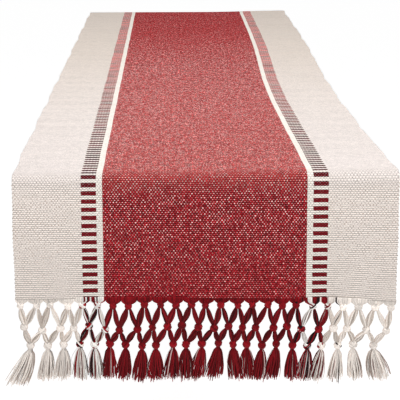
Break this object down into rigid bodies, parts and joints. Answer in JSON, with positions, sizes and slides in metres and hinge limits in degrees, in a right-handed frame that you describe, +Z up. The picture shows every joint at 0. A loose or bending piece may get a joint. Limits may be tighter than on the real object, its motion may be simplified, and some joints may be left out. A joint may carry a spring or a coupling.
{
  "type": "table runner",
  "caption": "Woven table runner with bar-striped bands, draped over both ends of a table, with knotted net fringes and swinging tassels.",
  "frame": {"origin": "centre of the underside of the cloth that lies on the table top", "axes": "+X across the cloth, +Y along the cloth from the front end to the back end, +Z up; both ends hang below the origin"},
  "size_m": [0.33, 1.0476, 0.1802],
  "materials": {
    "striped_cloth": "matt plain weave: crimson panel between cream borders, each edged by a white stripe and a band of short dark bars",
    "fringe_yarn": "matt twisted cotton, crimson in the middle and cream at the sides",
    "crimson_yarn": "matt loose cotton",
    "mixed_yarn": "matt loose cotton, cream, crimson and near-black together",
    "cream_yarn": "matt loose cotton"
  },
  "bodies": {
    "centre": {"centre_panel": "striped_cloth"},
    "front_drop": {"front_drop": "striped_cloth"},
    "front_fringe": {"front_knots_upper": "fringe_yarn", "front_knots_middle": "fringe_yarn", "front_knots_lower": "fringe_yarn", "front_bundles_upper": "fringe_yarn", "front_bundles_lower": "fringe_yarn"},
    "front_tassel_01": {"front_tassel_01": "cream_yarn"},
    "front_tassel_02": {"front_tassel_02": "cream_yarn"},
    "front_tassel_03": {"front_tassel_03": "cream_yarn"},
    "front_tassel_04": {"front_tassel_04": "mixed_yarn"},
    "front_tassel_05": {"front_tassel_05": "mixed_yarn"},
    "front_tassel_06": {"front_tassel_06": "crimson_yarn"},
    "front_tassel_07": {"front_tassel_07": "crimson_yarn"},
    "front_tassel_08": {"front_tassel_08": "crimson_yarn"},
    "front_tassel_09": {"front_tassel_09": "crimson_yarn"},
    "front_tassel_10": {"front_tassel_10": "crimson_yarn"},
    "front_tassel_11": {"front_tassel_11": "crimson_yarn"},
    "front_tassel_12": {"front_tassel_12": "crimson_yarn"},
    "front_tassel_13": {"front_tassel_13": "crimson_yarn"},
    "front_tassel_14": {"front_tassel_14": "crimson_yarn"},
    "front_tassel_15": {"front_tassel_15": "crimson_yarn"},
    "front_tassel_16": {"front_tassel_16": "crimson_yarn"},
    "front_tassel_17": {"front_tassel_17": "crimson_yarn"},
    "front_tassel_18": {"front_tassel_18": "crimson_yarn"},
    "front_tassel_19": {"front_tassel_19": "mixed_yarn"},
    "front_tassel_20": {"front_tassel_20": "mixed_yarn"},
    "front_tassel_21": {"front_tassel_21": "cream_yarn"},
    "front_tassel_22": {"front_tassel_22": "cream_yarn"},
    "front_tassel_23": {"front_tassel_23": "cream_yarn"},
    "back_drop": {"back_drop": "striped_cloth"},
    "back_fringe": {"back_knots_upper": "fringe_yarn", "back_knots_middle": "fringe_yarn", "back_knots_lower": "fringe_yarn", "back_bundles_upper": "fringe_yarn", "back_bundles_lower": "fringe_yarn"},
    "back_tassel_01": {"back_tassel_01": "cream_yarn"},
    "back_tassel_02": {"back_tassel_02": "cream_yarn"},
    "back_tassel_03": {"back_tassel_03": "cream_yarn"},
    "back_tassel_04": {"back_tassel_04": "mixed_yarn"},
    "back_tassel_05": {"back_tassel_05": "mixed_yarn"},
    "back_tassel_06": {"back_tassel_06": "crimson_yarn"},
    "back_tassel_07": {"back_tassel_07": "crimson_yarn"},
    "back_tassel_08": {"back_tassel_08": "crimson_yarn"},
    "back_tassel_09": {"back_tassel_09": "crimson_yarn"},
    "back_tassel_10": {"back_tassel_10": "crimson_yarn"},
    "back_tassel_11": {"back_tassel_11": "crimson_yarn"},
    "back_tassel_12": {"back_tassel_12": "crimson_yarn"},
    "back_tassel_13": {"back_tassel_13": "crimson_yarn"},
    "back_tassel_14": {"back_tassel_14": "crimson_yarn"},
    "back_tassel_15": {"back_tassel_15": "crimson_yarn"},
    "back_tassel_16": {"back_tassel_16": "crimson_yarn"},
    "back_tassel_17": {"back_tassel_17": "crimson_yarn"},
    "back_tassel_18": {"back_tassel_18": "crimson_yarn"},
    "back_tassel_19": {"back_tassel_19": "mixed_yarn"},
    "back_tassel_20": {"back_tassel_20": "mixed_yarn"},
    "back_tassel_21": {"back_tassel_21": "cream_yarn"},
    "back_tassel_22": {"back_tassel_22": "cream_yarn"},
    "back_tassel_23": {"back_tassel_23": "cream_yarn"}
  },
  "joints": [
    {"name": "front_drop_bend", "type": "hinge", "parent": "centre", "child": "front_drop", "pos_m": [0, -0.50437, -0.00083], "axis": [-1, 0, 0], "range_deg": [0, 82]},
    {"name": "front_fringe_swing", "type": "hinge", "parent": "front_drop", "child": "front_fringe", "pos_m": [0, -0.52038, -0.10525], "axis": [-1, 0, 0], "range_deg": [-85, 85]},
    {"name": "front_tassel_01_swing", "type": "hinge", "parent": "front_fringe", "child": "front_tassel_01", "pos_m": [-0.15173, -0.52038, -0.14875], "axis": [-1, 0, 0], "range_deg": [-60, 60]},
    {"name": "front_tassel_02_swing", "type": "hinge", "parent": "front_fringe", "child": "front_tassel_02", "pos_m": [-0.13827, -0.52038, -0.14875], "axis": [-1, 0, 0], "range_deg": [-60, 60]},
    {"name": "front_tassel_03_swing", "type": "hinge", "parent": "front_fringe", "child": "front_tassel_03", "pos_m": [-0.1248, -0.52038, -0.14875], "axis": [-1, 0, 0], "range_deg": [-60, 60]},
    {"name": "front_tassel_04_swing", "type": "hinge", "parent": "front_fringe", "child": "front_tassel_04", "pos_m": [-0.11133, -0.52038, -0.14875], "axis": [-1, 0, 0], "range_deg": [-60, 60]},
    {"name": "front_tassel_05_swing", "type": "hinge", "parent": "front_fringe", "child": "front_tassel_05", "pos_m": [-0.09787, -0.52038, -0.14875], "axis": [-1, 0, 0], "range_deg": [-60, 60]},
    {"name": "front_tassel_06_swing", "type": "hinge", "parent": "front_fringe", "child": "front_tassel_06", "pos_m": [-0.0844, -0.52038, -0.14875], "axis": [-1, 0, 0], "range_deg": [-60, 60]},
    {"name": "front_tassel_07_swing", "type": "hinge", "parent": "front_fringe", "child": "front_tassel_07", "pos_m": [-0.07093, -0.52038, -0.14875], "axis": [-1, 0, 0], "range_deg": [-60, 60]},
    {"name": "front_tassel_08_swing", "type": "hinge", "parent": "front_fringe", "child": "front_tassel_08", "pos_m": [-0.05747, -0.52038, -0.14875], "axis": [-1, 0, 0], "range_deg": [-60, 60]},
    {"name": "front_tassel_09_swing", "type": "hinge", "parent": "front_fringe", "child": "front_tassel_09", "pos_m": [-0.044, -0.52038, -0.14875], "axis": [-1, 0, 0], "range_deg": [-60, 60]},
    {"name": "front_tassel_10_swing", "type": "hinge", "parent": "front_fringe", "child": "front_tassel_10", "pos_m": [-0.03053, -0.52038, -0.14875], "axis": [-1, 0, 0], "range_deg": [-60, 60]},
    {"name": "front_tassel_11_swing", "type": "hinge", "parent": "front_fringe", "child": "front_tassel_11", "pos_m": [-0.01707, -0.52038, -0.14875], "axis": [-1, 0, 0], "range_deg": [-60, 60]},
    {"name": "front_tassel_12_swing", "type": "hinge", "parent": "front_fringe", "child": "front_tassel_12", "pos_m": [-0.0036, -0.52038, -0.14875], "axis": [-1, 0, 0], "range_deg": [-60, 60]},
    {"name": "front_tassel_13_swing", "type": "hinge", "parent": "front_fringe", "child": "front_tassel_13", "pos_m": [0.00987, -0.52038, -0.14875], "axis": [-1, 0, 0], "range_deg": [-60, 60]},
    {"name": "front_tassel_14_swing", "type": "hinge", "parent": "front_fringe", "child": "front_tassel_14", "pos_m": [0.02333, -0.52038, -0.14875], "axis": [-1, 0, 0], "range_deg": [-60, 60]},
    {"name": "front_tassel_15_swing", "type": "hinge", "parent": "front_fringe", "child": "front_tassel_15", "pos_m": [0.0368, -0.52038, -0.14875], "axis": [-1, 0, 0], "range_deg": [-60, 60]},
    {"name": "front_tassel_16_swing", "type": "hinge", "parent": "front_fringe", "child": "front_tassel_16", "pos_m": [0.05027, -0.52038, -0.14875], "axis": [-1, 0, 0], "range_deg": [-60, 60]},
    {"name": "front_tassel_17_swing", "type": "hinge", "parent": "front_fringe", "child": "front_tassel_17", "pos_m": [0.06373, -0.52038, -0.14875], "axis": [-1, 0, 0], "range_deg": [-60, 60]},
    {"name": "front_tassel_18_swing", "type": "hinge", "parent": "front_fringe", "child": "front_tassel_18", "pos_m": [0.0772, -0.52038, -0.14875], "axis": [-1, 0, 0], "range_deg": [-60, 60]},
    {"name": "front_tassel_19_swing", "type": "hinge", "parent": "front_fringe", "child": "front_tassel_19", "pos_m": [0.09067, -0.52038, -0.14875], "axis": [-1, 0, 0], "range_deg": [-60, 60]},
    {"name": "front_tassel_20_swing", "type": "hinge", "parent": "front_fringe", "child": "front_tassel_20", "pos_m": [0.10413, -0.52038, -0.14875], "axis": [-1, 0, 0], "range_deg": [-60, 60]},
    {"name": "front_tassel_21_swing", "type": "hinge", "parent": "front_fringe", "child": "front_tassel_21", "pos_m": [0.1176, -0.52038, -0.14875], "axis": [-1, 0, 0], "range_deg": [-60, 60]},
    {"name": "front_tassel_22_swing", "type": "hinge", "parent": "front_fringe", "child": "front_tassel_22", "pos_m": [0.13107, -0.52038, -0.14875], "axis": [-1, 0, 0], "range_deg": [-60, 60]},
    {"name": "front_tassel_23_swing", "type": "hinge", "parent": "front_fringe", "child": "front_tassel_23", "pos_m": [0.14453, -0.52038, -0.14875], "axis": [-1, 0, 0], "range_deg": [-60, 60]},
    {"name": "back_drop_bend", "type": "hinge", "parent": "centre", "child": "back_drop", "pos_m": [0, 0.50437, -0.00083], "axis": [1, 0, 0], "range_deg": [0, 82]},
    {"name": "back_fringe_swing", "type": "hinge", "parent": "back_drop", "child": "back_fringe", "pos_m": [0, 0.52038, -0.10525], "axis": [1, 0, 0], "range_deg": [-85, 85]},
    {"name": "back_tassel_01_swing", "type": "hinge", "parent": "back_fringe", "child": "back_tassel_01", "pos_m": [0.15173, 0.52038, -0.14875], "axis": [1, 0, 0], "range_deg": [-60, 60]},
    {"name": "back_tassel_02_swing", "type": "hinge", "parent": "back_fringe", "child": "back_tassel_02", "pos_m": [0.13827, 0.52038, -0.14875], "axis": [1, 0, 0], "range_deg": [-60, 60]},
    {"name": "back_tassel_03_swing", "type": "hinge", "parent": "back_fringe", "child": "back_tassel_03", "pos_m": [0.1248, 0.52038, -0.14875], "axis": [1, 0, 0], "range_deg": [-60, 60]},
    {"name": "back_tassel_04_swing", "type": "hinge", "parent": "back_fringe", "child": "back_tassel_04", "pos_m": [0.11133, 0.52038, -0.14875], "axis": [1, 0, 0], "range_deg": [-60, 60]},
    {"name": "back_tassel_05_swing", "type": "hinge", "parent": "back_fringe", "child": "back_tassel_05", "pos_m": [0.09787, 0.52038, -0.14875], "axis": [1, 0, 0], "range_deg": [-60, 60]},
    {"name": "back_tassel_06_swing", "type": "hinge", "parent": "back_fringe", "child": "back_tassel_06", "pos_m": [0.0844, 0.52038, -0.14875], "axis": [1, 0, 0], "range_deg": [-60, 60]},
    {"name": "back_tassel_07_swing", "type": "hinge", "parent": "back_fringe", "child": "back_tassel_07", "pos_m": [0.07093, 0.52038, -0.14875], "axis": [1, 0, 0], "range_deg": [-60, 60]},
    {"name": "back_tassel_08_swing", "type": "hinge", "parent": "back_fringe", "child": "back_tassel_08", "pos_m": [0.05747, 0.52038, -0.14875], "axis": [1, 0, 0], "range_deg": [-60, 60]},
    {"name": "back_tassel_09_swing", "type": "hinge", "parent": "back_fringe", "child": "back_tassel_09", "pos_m": [0.044, 0.52038, -0.14875], "axis": [1, 0, 0], "range_deg": [-60, 60]},
    {"name": "back_tassel_10_swing", "type": "hinge", "parent": "back_fringe", "child": "back_tassel_10", "pos_m": [0.03053, 0.52038, -0.14875], "axis": [1, 0, 0], "range_deg": [-60, 60]},
    {"name": "back_tassel_11_swing", "type": "hinge", "parent": "back_fringe", "child": "back_tassel_11", "pos_m": [0.01707, 0.52038, -0.14875], "axis": [1, 0, 0], "range_deg": [-60, 60]},
    {"name": "back_tassel_12_swing", "type": "hinge", "parent": "back_fringe", "child": "back_tassel_12", "pos_m": [0.0036, 0.52038, -0.14875], "axis": [1, 0, 0], "range_deg": [-60, 60]},
    {"name": "back_tassel_13_swing", "type": "hinge", "parent": "back_fringe", "child": "back_tassel_13", "pos_m": [-0.00987, 0.52038, -0.14875], "axis": [1, 0, 0], "range_deg": [-60, 60]},
    {"name": "back_tassel_14_swing", "type": "hinge", "parent": "back_fringe", "child": "back_tassel_14", "pos_m": [-0.02333, 0.52038, -0.14875], "axis": [1, 0, 0], "range_deg": [-60, 60]},
    {"name": "back_tassel_15_swing", "type": "hinge", "parent": "back_fringe", "child": "back_tassel_15", "pos_m": [-0.0368, 0.52038, -0.14875], "axis": [1, 0, 0], "range_deg": [-60, 60]},
    {"name": "back_tassel_16_swing", "type": "hinge", "parent": "back_fringe", "child": "back_tassel_16", "pos_m": [-0.05027, 0.52038, -0.14875], "axis": [1, 0, 0], "range_deg": [-60, 60]},
    {"name": "back_tassel_17_swing", "type": "hinge", "parent": "back_fringe", "child": "back_tassel_17", "pos_m": [-0.06373, 0.52038, -0.14875], "axis": [1, 0, 0], "range_deg": [-60, 60]},
    {"name": "back_tassel_18_swing", "type": "hinge", "parent": "back_fringe", "child": "back_tassel_18", "pos_m": [-0.0772, 0.52038, -0.14875], "axis": [1, 0, 0], "range_deg": [-60, 60]},
    {"name": "back_tassel_19_swing", "type": "hinge", "parent": "back_fringe", "child": "back_tassel_19", "pos_m": [-0.09067, 0.52038, -0.14875], "axis": [1, 0, 0], "range_deg": [-60, 60]},
    {"name": "back_tassel_20_swing", "type": "hinge", "parent": "back_fringe", "child": "back_tassel_20", "pos_m": [-0.10413, 0.52038, -0.14875], "axis": [1, 0, 0], "range_deg": [-60, 60]},
    {"name": "back_tassel_21_swing", "type": "hinge", "parent": "back_fringe", "child": "back_tassel_21", "pos_m": [-0.1176, 0.52038, -0.14875], "axis": [1, 0, 0], "range_deg": [-60, 60]},
    {"name": "back_tassel_22_swing", "type": "hinge", "parent": "back_fringe", "child": "back_tassel_22", "pos_m": [-0.13107, 0.52038, -0.14875], "axis": [1, 0, 0], "range_deg": [-60, 60]},
    {"name": "back_tassel_23_swing", "type": "hinge", "parent": "back_fringe", "child": "back_tassel_23", "pos_m": [-0.14453, 0.52038, -0.14875], "axis": [1, 0, 0], "range_deg": [-60, 60]}
  ]
}
